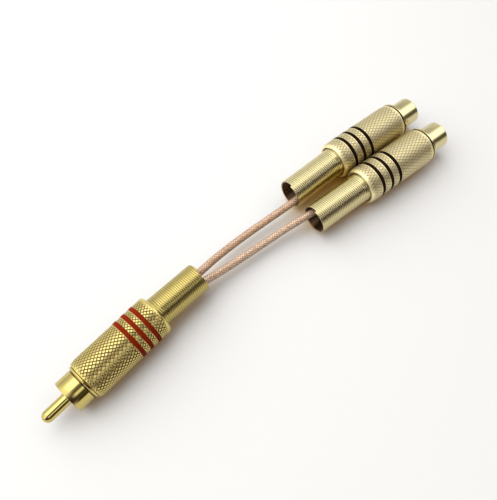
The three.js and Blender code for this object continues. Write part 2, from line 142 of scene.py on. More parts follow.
# The cables' routes between the springs, in millimetres from the plug's station 0
CABLE_A_ROUTE = [
    (35.4, 0.45, -0.35),
    (37.7, 0.34, -0.42),
    (40.0, 0.3, -0.6),
    (43.1, 0.41, -1.05),
    (46.2, 0.4, -1.47),
    (49.2, 0.29, -1.79),
    (52.2, 0.07, -2.02),
    (55.1, -0.23, -2.15),
    (58.0, -0.62, -2.2),
    (60.9, -1.08, -2.15),
    (63.7, -1.6, -2.02),
    (66.5, -2.16, -1.79),
    (69.3, -2.77, -1.47),
    (72.1, -3.4, -1.05),
    (74.8, -3.92, -0.62),
    (78.0, -4.3, -0.38),
]
CABLE_B_ROUTE = [
    (35.4, -2.1, -0.35),
    (37.2, -2.36, -0.42),
    (39.1, -2.66, -0.6),
    (41.8, -3.11, -1.05),
    (44.6, -3.59, -1.47),
    (47.5, -4.07, -1.79),
    (50.4, -4.56, -2.02),
    (53.3, -5.07, -2.15),
    (56.2, -5.62, -2.2),
    (59.1, -6.19, -2.15),
    (62.1, -6.81, -2.02),
    (65.0, -7.47, -1.79),
    (67.8, -8.19, -1.47),
    (70.6, -9.05, -1.0),
    (73.3, -9.96, -0.55),
    (76.6, -10.9, -0.38),
]


class SPLITTER_PG_sizes(bpy.types.PropertyGroup):
    """Sizes of the detail that the solids leave plain"""

    plug_knurl_starts: IntProperty(
        name="Plug knurl starts", description="Grooves round the shell each way",
        default=36, min=12,
    )
    jack_knurl_starts: IntProperty(
        name="Jack knurl starts", description="Grooves round the shell each way",
        default=35, min=12,
    )
    plug_knurl_period: FloatProperty(
        name="Plug knurl period", description="Along the shell, in millimetres", default=1.33
    )
    jack_knurl_period: FloatProperty(
        name="Jack knurl period", description="Along the shell, in millimetres", default=1.75
    )
    plug_knurl_depth: FloatProperty(
        name="Plug knurl depth", description="Crest to groove, in millimetres", default=0.2
    )
    jack_knurl_depth: FloatProperty(
        name="Jack knurl depth", description="Crest to groove, in millimetres", default=0.12
    )
    plug_knurl_flat: FloatProperty(
        name="Plug knurl flat", description="Each diamond's flat top, in per cent", default=58
    )
    jack_knurl_flat: FloatProperty(
        name="Jack knurl flat", description="Each diamond's flat top, in per cent", default=74
    )
    wire_radius: FloatProperty(
        name="Wire radius", description="Of the springs' wire, in millimetres", default=0.275
    )
    plug_wire_pitch: FloatProperty(
        name="Plug wire pitch", description="Of the plug's spring, in millimetres", default=0.575
    )
    jack_wire_pitch: FloatProperty(
        name="Jack wire pitch", description="Of the jacks' springs, in millimetres", default=0.6
    )


class SPLITTER_PG_finishes(bpy.types.PropertyGroup):
    """Colours of the finishes"""

    gold: FloatVectorProperty(
        name="Gold", description="Plating of the plug", subtype="COLOR",
        default=(0.58, 0.47, 0.155),
    )
    pale_gold: FloatVectorProperty(
        name="Pale gold", description="Plating of the jacks", subtype="COLOR",
        default=(0.66, 0.58, 0.31),
    )
    # The knurled shells' colours are lighter copies of the plain plating: painted light, standing
    # in for light the diamonds' facets lose
    gold_knurl_lightened: FloatVectorProperty(
        name="Knurled gold, lightened", description="Plating of the plug's shell", subtype="COLOR",
        default=(0.68, 0.56, 0.19),
    )
    pale_gold_knurl_lightened: FloatVectorProperty(
        name="Knurled pale gold, lightened", description="Plating of the jacks' shells", subtype="COLOR",
        default=(1.0, 0.9, 0.51),
    )
    red_enamel: FloatVectorProperty(
        name="Red enamel", description="The plug's bands", subtype="COLOR",
        default=(0.15, 0.011, 0.001),
    )
    black_enamel: FloatVectorProperty(
        name="Black enamel", description="The jacks' bands", subtype="COLOR",
        default=(0.01, 0.004, 0.002),
    )
    jacket: FloatVectorProperty(
        name="Jacket", description="The cable's clear jacket over copper", subtype="COLOR",
        default=(0.27, 0.15, 0.09),
    )
    # The strands' brightness stands partly for their glints: painted highlight
    braid: FloatVectorProperty(
        name="Braid", description="Bright strands under the jacket", subtype="COLOR",
        default=(0.72, 0.61, 0.42),
    )


class SPLITTER_PG_studio(bpy.types.PropertyGroup):
    """The light and the camera"""

    lens: FloatProperty(
        name="Lens", description="Focal length on a 36 mm sensor", default=36.58, unit="CAMERA"
    )
    overhead: FloatProperty(
        name="Overhead", description="Power of the overhead soft light, in watts", default=2.7
    )
    bounce: FloatProperty(
        name="Bounce", description="Power of the near side's warm bounce, in watts", default=0.35
    )
    surround: FloatProperty(
        name="Surround", description="Brightness of the white surround", default=1.0
    )


def sizes():
    return bpy.context.scene.splitter_sizes


def finishes():
    return bpy.context.scene.splitter_finishes


def studio():
    return bpy.context.scene.splitter_studio


def plug_place():
    return Matrix.Translation(PLUG_AT)


def jack_places():
    """Where the jacks lie: jack_b beside jack_a, a little turned from it"""
    yaw = math.radians(JACK_A_YAW)
    forward = Vector((math.cos(yaw), math.sin(yaw), 0))
    right = Vector((math.sin(yaw), -math.cos(yaw), 0))
    length = JACK_SHELL["length"]
    rear_a = Vector((*JACK_A_FACE, 0)) - forward * length
    rear_b = rear_a + right * (2 * SHELL_RADIUS + JACK_GAP) - forward * JACK_B_BACK
    places = {}
    for name, rear, turn in (
        ("jack_a", rear_a, JACK_A_YAW),
        ("jack_b", rear_b, JACK_A_YAW - JACK_SPLAY),
    ):
        heading = math.radians(180 + turn)
        face = rear - Vector((math.cos(heading), math.sin(heading), 0)) * length
        at = Matrix.Translation(PLUG_AT + face * MM)
        places[name] = at @ Matrix.Rotation(heading, 4, "Z")
    return places


def from_route(point):
    return PLUG_AT + Vector(point) * MM


# Shapes


def turned_mesh(profile, steps, closed=True):
    """Spins a profile of (station, radius) in millimetres round the X axis"""
    bm = bmesh.new()
    verts = [bm.verts.new((station * MM, 0, radius * MM)) for station, radius in profile]
    pairs = list(zip(verts, verts[1:]))
    if closed:
        pairs.append((verts[-1], verts[0]))
    edges = [bm.edges.new(pair) for pair in pairs]
    bmesh.ops.spin(
        bm, geom=verts + edges, cent=(0, 0, 0), axis=(1, 0, 0), angle=2 * math.pi,
        steps=steps, use_merge=True, use_duplicate=False,
    )
    bmesh.ops.remove_doubles(bm, verts=bm.verts[:], dist=1e-7)
    bmesh.ops.recalc_face_normals(bm, faces=bm.faces[:])
    return bm


def soften_edges(bm, width):
    """Bevels the edges that turn by more than 30 degrees"""
    least = math.radians(30)
    sharp = [e for e in bm.edges if len(e.link_faces) == 2 and e.calc_face_angle() > least]
    bmesh.ops.bevel(
        bm, geom=sharp, offset=width * MM, offset_type="OFFSET", segments=2,
        profile=0.5, affect="EDGES", material=-1, clamp_overlap=True,
    )
    return bm


def shade(bm, angle=35):
    """Smooth faces, with the edges over an angle kept sharp"""
    for face in bm.faces:
        face.smooth = True
    for edge in bm.edges:
        edge.smooth = len(edge.link_faces) == 2 and edge.calc_face_angle() < math.radians(angle)
    return bm


def paint_shade(bm, low, high, reach):
    """Marks for painted shade what lies between two stations, nearer the axis than a radius"""
    painted_shade = bm.verts.layers.float.get("painted_shade") or bm.verts.layers.float.new("painted_shade")
    for vert in bm.verts:
        radius = math.hypot(vert.co.y, vert.co.z) / MM
        if low < vert.co.x / MM < high and radius < reach:
            vert[painted_shade] = 1
    return bm


def mesh_of(name, bm):
    mesh = bpy.data.meshes.new(name)
    bm.to_mesh(mesh)
    bm.free()
    return mesh


def in_scene(name, data):
    made = bpy.data.objects.new(name, data)
    bpy.context.scene.collection.objects.link(made)
    return made


def finished(bm, name, place, material, replaced):
    """Makes the piece: in its place, riding on the part, in its material"""
    bmesh.ops.transform(bm, matrix=place, verts=bm.verts[:])
    piece = in_scene(name, mesh_of(name, bm))
    piece.data.materials.append(material)
    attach(piece, "root")
    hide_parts(*replaced)
    return piece


def dress(cad, material):
    """Gives a solid that stays as it is its finish"""
    cad.data.materials.clear()
    cad.data.materials.append(material)


def rounded_drop(start, length, radius, drop, steps=6):
    """A rounded outer corner, as points of (station, radius)"""
    points = []
    for step in range(steps + 1):
        angle = step / steps * math.pi / 2
        points.append((start + length * math.sin(angle), radius - drop * (1 - math.cos(angle))))
    return points


def crest_radius(shell, station):
    """The shell's outer radius at a station, over its tapered nose and its rounded shoulder"""
    if station < SHELL_NOSE["length"]:
        short = 1 - station / SHELL_NOSE["length"]
        return SHELL_RADIUS - (SHELL_RADIUS - SHELL_NOSE["radius"]) * short ** 1.6
    run = (station - shell["length"]) / shell["shoulder"] + 1
    return SHELL_RADIUS - shell["drop"] * (1 - math.sqrt(1 - max(0, run) ** 2))


def shell_profile(shell, period):
    """The shell's section, and for each knurled point of it the row and the depth's share there"""
    length = shell["length"]
    floor = SHELL_RADIUS - BAND_DEPTH
    points = [(0, SHELL_BORE), (0, SHELL_NOSE["radius"] - 0.1), (0.1, crest_radius(shell, 0.1))]
    marks = {}
    bands = shell["bands"]
    edges = [KNURL_START]
    for start in bands:
        edges += [start - BAND_MARGIN, start + BAND_WIDTH + BAND_MARGIN]
    shoulder_start = length - shell["shoulder"]
    edges.append(shoulder_start + shell["fade"])
    for index in range(0, len(edges), 2):
        low, high = edges[index], edges[index + 1]
        rows = max(2, round((high - low) / (period / 2)))
        for row in range(rows + 1):
            station = low + (high - low) * row / rows
            share = min(1, 0.7 + station / 4, 0.7 + (edges[-1] - station) / (0.1 + shell["fade"]))
            marks[round(station, 4)] = (row, share)
            points.append((station, crest_radius(shell, station)))
        if index // 2 < len(bands):
            start = bands[index // 2]
            crest = SHELL_RADIUS - 0.06
            points += [
                (start, crest), (start, floor),
                (start + BAND_WIDTH, floor), (start + BAND_WIDTH, crest),
            ]
    for share in (0.3, 0.45, 0.6, 0.72, 0.82, 0.9, 0.96, 1.0):
        station = shoulder_start + shell["shoulder"] * share
        if station > edges[-1] + 0.05:
            points.append((station, crest_radius(shell, station)))
    lip = length - REAR_LIP
    points += [
        (length, REAR_HOLE + 0.08), (length - 0.08, REAR_HOLE), (lip, REAR_HOLE),
        (lip, POCKET["radius"]), (lip - POCKET["length"], POCKET["radius"]),
        (lip - POCKET["length"], SHELL_BORE),
    ]
    return points, marks


def knurled_shell(shell, starts, period, depth, flat):
    """Turns the shell, cuts the lattice into diamonds, and sinks the grooves between them"""
    profile, marks = shell_profile(shell, period)
    bm = turned_mesh(profile, starts * 2)
    painted_shade = bm.verts.layers.float.new("painted_shade")
    crossings, crests = [], []
    for vert in bm.verts:
        station = vert.co.x / MM
        row, share = marks.get(round(station, 4), (None, 0))
        radius = math.hypot(vert.co.y, vert.co.z)
        if row is None or abs(radius / MM - crest_radius(shell, station)) > 0.01:
            continue
        column = round(math.atan2(vert.co.y, vert.co.z) / math.pi * starts)
        if (row + column) % 2 == 0:
            crossings.append((vert, share, radius))
        else:
            crests.append(vert)
    bmesh.ops.connect_verts(bm, verts=[vert for vert, _, _ in crossings])
    for vert, share, radius in crossings:
        scale = 1 - depth * share * MM / radius
        vert.co.y *= scale
        vert.co.z *= scale
        # The groove points carry the shade mask: painted shade in the knurl's hollows
        vert[painted_shade] = share
    inner = [v for v in crests if len(v.link_edges) == 4]
    bmesh.ops.bevel(
        bm, geom=inner, offset=flat, offset_type="PERCENT", segments=1, profile=0.5,
        affect="VERTICES", material=-1, clamp_overlap=True,
    )
    for face in bm.faces:
        face.smooth = False
    for edge in bm.edges:
        edge.smooth = False
    return bm


def spring_mesh(shell_length, free_length, pitch, sway):
    """Winds the wire with a screw spin, then wears it flat, opens it at the shell and leans it"""
    wire = sizes().wire_radius
    # Two turns and a little more are held in the shell's pocket
    start = shell_length - REAR_LIP - wire - 0.3 - 2 * pitch
    end = shell_length + free_length - wire
    turns = round((end - start) / pitch)
    steps = WIRE_STEPS * turns
    even = SPRING_RADIUS - wire
    bm = bmesh.new()
    made = bmesh.ops.create_circle(bm, cap_ends=False, radius=wire * MM, segments=WIRE_SIDES)
    section = made["verts"]
    turn = Matrix.Rotation(math.pi / 2, 4, "X")
    bmesh.ops.transform(bm, matrix=turn, verts=section)
    bmesh.ops.translate(bm, vec=Vector((start, 0, even)) * MM, verts=section)
    edges = list({e for v in section for e in v.link_edges})
    bmesh.ops.spin(
        bm, geom=section + edges, cent=(0, 0, 0), axis=(1, 0, 0), angle=2 * math.pi * turns,
        dvec=((end - start) / steps * MM, 0, 0), steps=steps, use_merge=False,
        use_duplicate=False,
    )
    bmesh.ops.remove_doubles(bm, verts=bm.verts[:], dist=1e-8)
    bmesh.ops.holes_fill(bm, edges=[e for e in bm.edges if e.is_boundary], sides=0)
    bmesh.ops.recalc_face_normals(bm, faces=bm.faces[:])
    painted_shade = bm.verts.layers.float.new("painted_shade")
    cone_end = shell_length + SPRING_CONE_LENGTH / 2
    cone_start = cone_end - SPRING_CONE_LENGTH
    seat = POCKET["radius"] - 0.1 - wire
    for vert in bm.verts:
        station = vert.co.x / MM
        radius = math.hypot(vert.co.y, vert.co.z)
        outward = (radius / MM - even) / wire
        # The shade mask: painted shade on the coil's inner side and in the seams between turns
        vert[painted_shade] = max(0, min(1, 0.8 - outward))
        if station < cone_start:
            growth = min(seat - even, SPRING_CONE_GROWTH + cone_start - station)
        else:
            growth = SPRING_CONE_GROWTH * max(0, cone_end - station) / SPRING_CONE_LENGTH
        flatter = 0
        if outward > -0.05:
            # The outer half is flat, with a shallow seam where it meets the next turn
            rise = max(0, outward)
            flatter = wire * (WIRE_SEAM + (1 - WIRE_SEAM) * rise ** 0.5 - rise)
        scale = 1 + (growth + flatter) * MM / radius
        lean = sway * max(0, station - cone_end) / (end - cone_end)
        vert.co.y = vert.co.y * scale + lean * MM
        vert.co.z *= scale
    return bm


def smooth_line(points, step):
    """Points at even steps along a smooth line through a route"""
    count = len(points)
    dense = []
    for index in range(count - 1):
        before = points[max(index - 1, 0)]
        here, after = points[index], points[index + 1]
        beyond = points[min(index + 2, count - 1)]
        for part in range(12):
            t = part / 12
            dense.append(0.5 * (
                2 * here + (after - before) * t
                + (2 * before - 5 * here + 4 * after - beyond) * t ** 2
                + (3 * here - before - 3 * after + beyond) * t ** 3
            ))
    dense.append(points[-1].copy())
    lengths = [0.0]
    for a, b in zip(dense, dense[1:]):
        lengths.append(lengths[-1] + (b - a).length)
    total = lengths[-1]
    amount = max(2, round(total / step))
    line = []
    at = 0
    for index in range(amount + 1):
        want = total * index / amount
        while at < len(lengths) - 2 and lengths[at + 1] < want:
            at += 1
        share = (want - lengths[at]) / max(lengths[at + 1] - lengths[at], 1e-12)
        line.append(dense[at].lerp(dense[at + 1], min(share, 1.0)))
    return line, total


def tube_mesh(line, radius):
    """Extrudes a ring along a line, mapped once round and in centimetres along"""
    sides = TUBE_SIDES
    bm = bmesh.new()
    uv = bm.loops.layers.uv.new("along")
    rings = []
    turn = Matrix.Identity(3)
    previous = Vector((0, 0, 1))
    travelled = 0.0
    for index, point in enumerate(line):
        ahead = line[min(index + 1, len(line) - 1)] - line[max(index - 1, 0)]
        turn = previous.rotation_difference(ahead.normalized()).to_matrix() @ turn
        previous = ahead.normalized()
        if index == 0:
            made = bmesh.ops.create_circle(bm, cap_ends=False, radius=radius, segments=sides)
            ring = made["verts"]
            place = Matrix.Translation(point) @ turn.to_4x4()
            bmesh.ops.transform(bm, matrix=place, verts=ring)
        else:
            travelled += (point - line[index - 1]).length
            last = rings[-1][0]
            edges = [bm.edges.get((last[i], last[(i + 1) % sides])) for i in range(sides)]
            made = bmesh.ops.extrude_edge_only(bm, edges=edges)["geom"]
            fresh = [g for g in made if isinstance(g, bmesh.types.BMVert)]
            ring = []
            for vert in last:
                ring.append(next(
                    e.other_vert(vert) for e in vert.link_edges if e.other_vert(vert) in fresh
                ))
            for i, vert in enumerate(ring):
                angle = 2 * math.pi * i / sides
                spoke = turn @ Vector((-math.sin(angle), math.cos(angle), 0))
                vert.co = point + spoke * radius
        rings.append((ring, travelled))
    around = {v: i for ring, _ in rings for i, v in enumerate(ring)}
    along = {v: run for ring, run in rings for v in ring}
    for face in bm.faces:
        columns = [around[loop.vert] for loop in face.loops]
        wraps = max(columns) - min(columns) > 1
        for loop, column in zip(face.loops, columns):
            turned = sides if wraps and column == 0 else column
            loop[uv].uv = (turned / sides, along[loop.vert] / MM / 10)
        face.smooth = True
    for ring, run in (rings[0], rings[-1]):
        cap = bm.faces.new(ring if run == 0 else ring[::-1])
        for loop in cap.loops:
            loop[uv].uv = (around[loop.vert] / sides, run / MM / 10)
        for edge in cap.edges:
            edge.smooth = False
    bmesh.ops.recalc_face_normals(bm, faces=bm.faces[:])
    return bm


# Materials


def new_material(name):
    material = bpy.data.materials.new(name)
    material.use_nodes = True
    material.node_tree.nodes.clear()
    return material


def node(tree, kind, inputs=None, **settings):
    """A new node, with each input linked to the socket or set to the value given for it"""
    made = tree.nodes.new(kind)
    for name, value in settings.items():
        setattr(made, name, value)
    for name, value in (inputs or {}).items():
        if isinstance(value, bpy.types.NodeSocket):
            tree.links.new(value, made.inputs[name])
        else:
            made.inputs[name].default_value = value
    return made


def maths(tree, operation, *values):
    """What a math node makes of sockets and numbers"""
    made = node(tree, "ShaderNodeMath", dict(enumerate(values)), operation=operation)
    return made.outputs[0]


def mixed(tree, share, first, second):
    """The first colour where the share is 0, the second where it is 1"""
    made = node(tree, "ShaderNodeMix", {0: share, 6: first, 7: second}, data_type="RGBA")
    return made.outputs[2]


def ranged(tree, value, low, high, to_low=0, to_high=1, shape="LINEAR"):
    """A value's way from low to high, laid over another range"""
    made = node(tree, "ShaderNodeMapRange", {
        "Value": value, "From Min": low, "From Max": high, "To Min": to_low, "To Max": to_high,
    }, interpolation_type=shape)
    return made.outputs["Result"]


def group_of(name, inputs, outputs):
    group = bpy.data.node_groups.new(name, "ShaderNodeTree")
    for label, kind, value in inputs:
        socket = group.interface.new_socket(name=label, in_out="INPUT", socket_type=kind)
        socket.default_value = value
    for label, kind in outputs:
        group.interface.new_socket(name=label, in_out="OUTPUT", socket_type=kind)
    return group


def plating_group():
    """A plated metal's faint clouds, painted shade in its hollows and gaps, its roughness and a
    fine ripple
    """
    found = bpy.data.node_groups.get("Plating cloud")
    if found:
        return found
    group = group_of(
        "Plating cloud",
        [
            ("Plate", "NodeSocketColor", (0.8, 0.6, 0.2, 1)),
            ("Tarnish", "NodeSocketColor", (0.5, 0.3, 0.1, 1)),
            ("Cloud Scale", "NodeSocketFloat", 300.0),
            ("Amount", "NodeSocketFloat", 0.3),
            ("Smooth", "NodeSocketFloat", 0.15),
            ("Rough", "NodeSocketFloat", 0.3),
            ("Ripple", "NodeSocketFloat", 0.05),
            ("Painted Shade", "NodeSocketColor", (0.1, 0.05, 0.025, 1)),
            ("Painted Shade Start", "NodeSocketFloat", 0.5),
            ("Painted Shade Amount", "NodeSocketFloat", 0.8),
        ],
        [
            ("Color", "NodeSocketColor"),
            ("Roughness", "NodeSocketFloat"),
            ("Normal", "NodeSocketVector"),
        ],
    )
    given = node(group, "NodeGroupInput").outputs
    place = node(group, "ShaderNodeTexCoord").outputs["Object"]
    clouds = node(group, "ShaderNodeTexNoise", {
        "Vector": place, "Scale": given["Cloud Scale"], "Detail": 4,
    })
    fine = node(group, "ShaderNodeTexNoise", {"Vector": place, "Scale": 2600, "Detail": 3})
    cloudy = ranged(group, clouds.outputs["Fac"], 0.35, 0.75)
    tarnished = maths(group, "MULTIPLY", cloudy, given["Amount"])
    plate = mixed(group, tarnished, given["Plate"], given["Tarnish"])
    painted_shade = node(group, "ShaderNodeAttribute", attribute_name="painted_shade")
    # Painted shade: the plate darkens towards the shade colour where the vertices' shade mask is
    # high
    deep = ranged(group, painted_shade.outputs["Fac"], given["Painted Shade Start"], 1, shape="SMOOTHSTEP")
    shade_share = maths(group, "MULTIPLY", deep, given["Painted Shade Amount"])
    bump = node(group, "ShaderNodeBump", {
        "Height": fine.outputs["Fac"], "Strength": given["Ripple"], "Distance": BUMP_HEIGHT,
    })
    node(group, "NodeGroupOutput", {
        "Color": mixed(group, shade_share, plate, given["Painted Shade"]),
        "Roughness": ranged(group, fine.outputs["Fac"], 0, 1, given["Smooth"], given["Rough"]),
        "Normal": bump.outputs["Normal"],
    })
    return group


def grain_group():
    """Fine moulding or brushing marks in plastic, enamel and tin: a shade and a normal"""
    found = bpy.data.node_groups.get("Fine grain")
    if found:
        return found
    group = group_of(
        "Fine grain",
        [
            ("Light", "NodeSocketColor", (0.8, 0.8, 0.8, 1)),
            ("Dark", "NodeSocketColor", (0.6, 0.6, 0.6, 1)),
            ("Scale", "NodeSocketFloat", 900.0),
            ("Depth", "NodeSocketFloat", 0.1),
        ],
        [("Color", "NodeSocketColor"), ("Normal", "NodeSocketVector")],
    )
    given = node(group, "NodeGroupInput").outputs
    place = node(group, "ShaderNodeTexCoord")
    noise = node(group, "ShaderNodeTexNoise", {
        "Vector": place.outputs["Object"], "Scale": given["Scale"], "Detail": 5,
    }).outputs["Fac"]
    bump = node(group, "ShaderNodeBump", {
        "Height": noise, "Strength": given["Depth"], "Distance": BUMP_HEIGHT,
    })
    node(group, "NodeGroupOutput", {
        "Color": mixed(group, noise, given["Dark"], given["Light"]),
        "Normal": bump.outputs["Normal"],
    })
    return group


def darker(colour, share):
    return tuple(c * share for c in colour)


def plated(name, plate, smooth, rough, shading=(0.1, 0.05, 0.025), shading_start=0.5, shading_amount=0.8):
    """A plated metal, a little cloudy, darkened with painted shade where the vertices' shade mask
    is high
    """
    found = bpy.data.materials.get(name)
    if found:
        return found
    material = new_material(name)
    tree = material.node_tree
    cloud = node(tree, "ShaderNodeGroup", {
        "Plate": (*plate, 1), "Tarnish": (*darker(plate, 0.75), 1), "Amount": 0.2,
        "Smooth": smooth, "Rough": rough, "Painted Shade": (*shading, 1), "Painted Shade Start": shading_start,
        "Painted Shade Amount": shading_amount,
    }, node_tree=plating_group()).outputs
    shader = node(tree, "ShaderNodeBsdfPrincipled", {
        "Metallic": 1.0, "Base Color": cloud["Color"], "Roughness": cloud["Roughness"],
        "Normal": cloud["Normal"],
    })
    node(tree, "ShaderNodeOutputMaterial", {"Surface": shader.outputs[0]})
    return material


def grained(
    name, light, dark, roughness, depth=0.1, scale=900.0, coat=0.0, metallic=0.0, specular=0.5
):
    """A plastic, an enamel or a plain metal with fine grain"""
    found = bpy.data.materials.get(name)
    if found:
        return found
    material = new_material(name)
    tree = material.node_tree
    grain = node(tree, "ShaderNodeGroup", {
        "Light": (*light, 1), "Dark": (*dark, 1), "Scale": scale, "Depth": depth,
    }, node_tree=grain_group()).outputs
    shader = node(tree, "ShaderNodeBsdfPrincipled", {
        "Roughness": roughness, "Metallic": metallic, "Specular IOR Level": specular,
        "Coat Weight": coat, "Coat Roughness": 0.08, "Base Color": grain["Color"],
        "Normal": grain["Normal"],
    })
    node(tree, "ShaderNodeOutputMaterial", {"Surface": shader.outputs[0]})
    return material


def gold():
    return plated("Gold plating", tuple(finishes().gold), 0.035, 0.08)


# A lighter copy of the plug's gold for its knurled shell: painted light
def gold_knurl_lightened():
    return plated(
        "Knurled gold, lightened", tuple(finishes().gold_knurl_lightened), 0.14, 0.28, shading=(0.09, 0.04, 0.022),
        shading_start=0.5, shading_amount=0.95,
    )


def pale_gold():
    return plated("Pale gold plating", tuple(finishes().pale_gold), 0.08, 0.15)


# A lighter copy of the jacks' pale gold for their knurled shells: painted light
def pale_gold_knurl_lightened():
    return plated(
        "Knurled pale gold, lightened", tuple(finishes().pale_gold_knurl_lightened), 0.34, 0.48,
        shading=(0.18, 0.11, 0.05), shading_start=0.55, shading_amount=0.9,
    )


def spring_wire(name, plate, shading_amount):
    return plated(
        name, plate, 0.14, 0.26, shading=(0.11, 0.045, 0.025), shading_start=0.55,
        shading_amount=shading_amount,
    )


def spring_gold():
    return spring_wire("Gold spring wire", darker(finishes().gold, 0.85), 0.95)


def spring_pale_gold():
    return spring_wire("Pale gold spring wire", tuple(finishes().pale_gold), 0.9)


def enamel(name, colour):
    return grained(name, colour, darker(colour, 0.8), 0.5, depth=0.06, scale=500.0, specular=0.03)


def nylon():
    return grained("Moulded insulator", (0.84, 0.81, 0.74), (0.76, 0.72, 0.64), 0.45, coat=0.1)


def tinned():
    return grained("Tinned sheet", (0.62, 0.6, 0.56), (0.45, 0.43, 0.4), 0.35, metallic=1.0)


def braided_jacket(name="Clear jacket over braid", tone=(1, 1, 1)):
    """Copper braid seen through a clear jacket: short bright strands where two lays cross,
    brightened partly as painted glints, with painted shade towards the edges
    """
    found = bpy.data.materials.get(name)
    if found:
        return found
    material = new_material(name)
    tree = material.node_tree
    coords = node(tree, "ShaderNodeUVMap", uv_map="along")
    split = node(tree, "ShaderNodeSeparateXYZ", {0: coords.outputs["UV"]}).outputs
    strands = []
    for turns, runs in BRAID_LAYS:
        around = maths(tree, "MULTIPLY", split["X"], turns)
        along = maths(tree, "MULTIPLY_ADD", split["Y"], runs, around)
        wave = maths(tree, "PINGPONG", along, 0.5)
        strands.append(ranged(tree, wave, 0.12, 0.36, shape="SMOOTHSTEP"))
    flecks = maths(tree, "MULTIPLY", *strands)
    place = node(tree, "ShaderNodeTexCoord")
    noise = node(tree, "ShaderNodeTexNoise", {
        "Vector": place.outputs["Object"], "Scale": 1300, "Detail": 2,
    })
    lit = ranged(tree, noise.outputs["Fac"], 0.35, 0.65, 0.1, 1.7)
    uneven = node(
        tree, "ShaderNodeMath", {0: flecks, 1: lit}, operation="MULTIPLY", use_clamp=True
    )
    copper = [base * share for base, share in zip(finishes().jacket, tone)]
    bright = [base * share for base, share in zip(finishes().braid, tone)]
    colour = mixed(tree, uneven.outputs[0], (*copper, 1), (*bright, 1))
    # Painted shade: the colour darkens towards the cable's edges as they turn from view
    rim_shade = node(tree, "ShaderNodeLayerWeight", {"Blend": 0.3})
    bump = node(tree, "ShaderNodeBump", {
        "Height": flecks, "Strength": 0.25, "Distance": 0.00005,
    })
    shader = node(tree, "ShaderNodeBsdfPrincipled", {
        "Roughness": 0.35, "Coat Weight": 0.6, "Coat Roughness": 0.12,
        "Base Color": mixed(tree, rim_shade.outputs["Facing"], colour, (*darker(copper, 0.45), 1)),
        "Normal": bump.outputs["Normal"],
    })
    node(tree, "ShaderNodeOutputMaterial", {"Surface": shader.outputs[0]})
    return material


def white_table():
    """A white table with painted shade and painted gold bounce light, warm and darker where the
    parts hide it from the sky
    """
    light = (0.51, 0.508, 0.5)
    material = grained("White table", light, darker(light, 0.98), 0.6, depth=0.02, specular=0)
    tree = material.node_tree
    base = tree.nodes["Principled BSDF"].inputs["Base Color"]
    unshaded_table = base.links[0].from_socket
    # Painted shade and painted bounce light: ambient occlusion mixes the table towards a warm
    # brown close to the parts
    near = node(tree, "ShaderNodeAmbientOcclusion", {"Distance": 0.014}, samples=8)
    open_sky = ranged(tree, near.outputs["AO"], 0.15, 0.55)
    tree.links.new(mixed(tree, open_sky, (0.6, 0.36, 0.06, 1), unshaded_table), base)
    return material


# Studio


def tent_ramp(tree, angle, stops, tones):
    """The tent's light by the angle round the X axis: 0 is overhead, 90 is towards -Y"""
    ramp = node(tree, "ShaderNodeValToRGB", {"Fac": angle})
    elements = ramp.color_ramp.elements
    elements.remove(elements[-1])
    for index, (degrees, level) in enumerate(stops):
        spot = (degrees + 180) / 360
        element = elements[0] if index == 0 else elements.new(spot)
        element.position = spot
        # The darker the cloth, the more of its own tone it shows
        neutral = min(1, level / 0.6)
        element.color = (*(level * (tone + (1 - tone) * neutral) for tone in tones), 1)
    return ramp.outputs["Color"]


def between(tree, value, rise, fall):
    """A mask that is 1 between two soft steps"""
    risen = ranged(tree, value, *rise, shape="SMOOTHSTEP")
    fallen = ranged(tree, value, *fall, shape="SMOOTHSTEP")
    return maths(tree, "SUBTRACT", risen, fallen)


def tent(tree):
    """White cloth and dark gaps round the parts, different over the middle, right and flanks"""
    place = node(tree, "ShaderNodeTexCoord")
    split = node(tree, "ShaderNodeSeparateXYZ", {0: place.outputs["Generated"]}).outputs
    flipped = maths(tree, "MULTIPLY", split["Y"], -1)
    tilt = maths(tree, "ARCTAN2", flipped, split["Z"])
    angle = ranged(tree, tilt, -math.pi, math.pi)
    middle = tent_ramp(tree, angle, [
        (-180, 0.8), (-112, 0.85), (-93, 0.6), (-77, 0.9), (-64, 0.95), (-52, 1.35), (-41, 1.9),
        (-36, 2.7), (-2, 2.7), (5, 1.3), (9, 0.4), (18, 0.2), (29, 0.18), (34, 1.1), (38, 1.3),
        (46, 1.1), (52, 0.12), (86, 0.05), (93, 0.6), (107, 0.85), (121, 1.1), (180, 1.1),
    ], (1, 0.86, 0.6))
    right = tent_ramp(tree, angle, [
        (-180, 1.1), (-93, 0.85), (-78, 0.68), (-31, 0.62), (-21, 0.75), (-11, 1.1), (-2, 1.8),
        (6, 2.2), (38, 2.2), (45, 1.6), (52, 0.5), (60, 0.14), (76, 0.1), (84, 0.3), (94, 0.9),
        (180, 0.9),
    ], (1, 0.95, 0.6))
    colour = tent_ramp(tree, angle, [
        (-180, 0.7), (-124, 0.75), (-77, 1.1), (-46, 1.5), (-21, 1.8), (1, 1.6), (11, 0.9),
        (20, 0.4), (32, 0.12), (56, 0.05), (70, 0.12), (80, 0.5), (95, 0.9), (180, 0.8),
    ], (1, 0.56, 0.9))
    for ramp, rise, fall in (
        (middle, (-0.32, -0.2), (0.08, 0.2)), (right, (0.48, 0.56), (0.76, 0.86)),
    ):
        colour = mixed(tree, between(tree, split["X"], rise, fall), colour, ramp)
    return colour


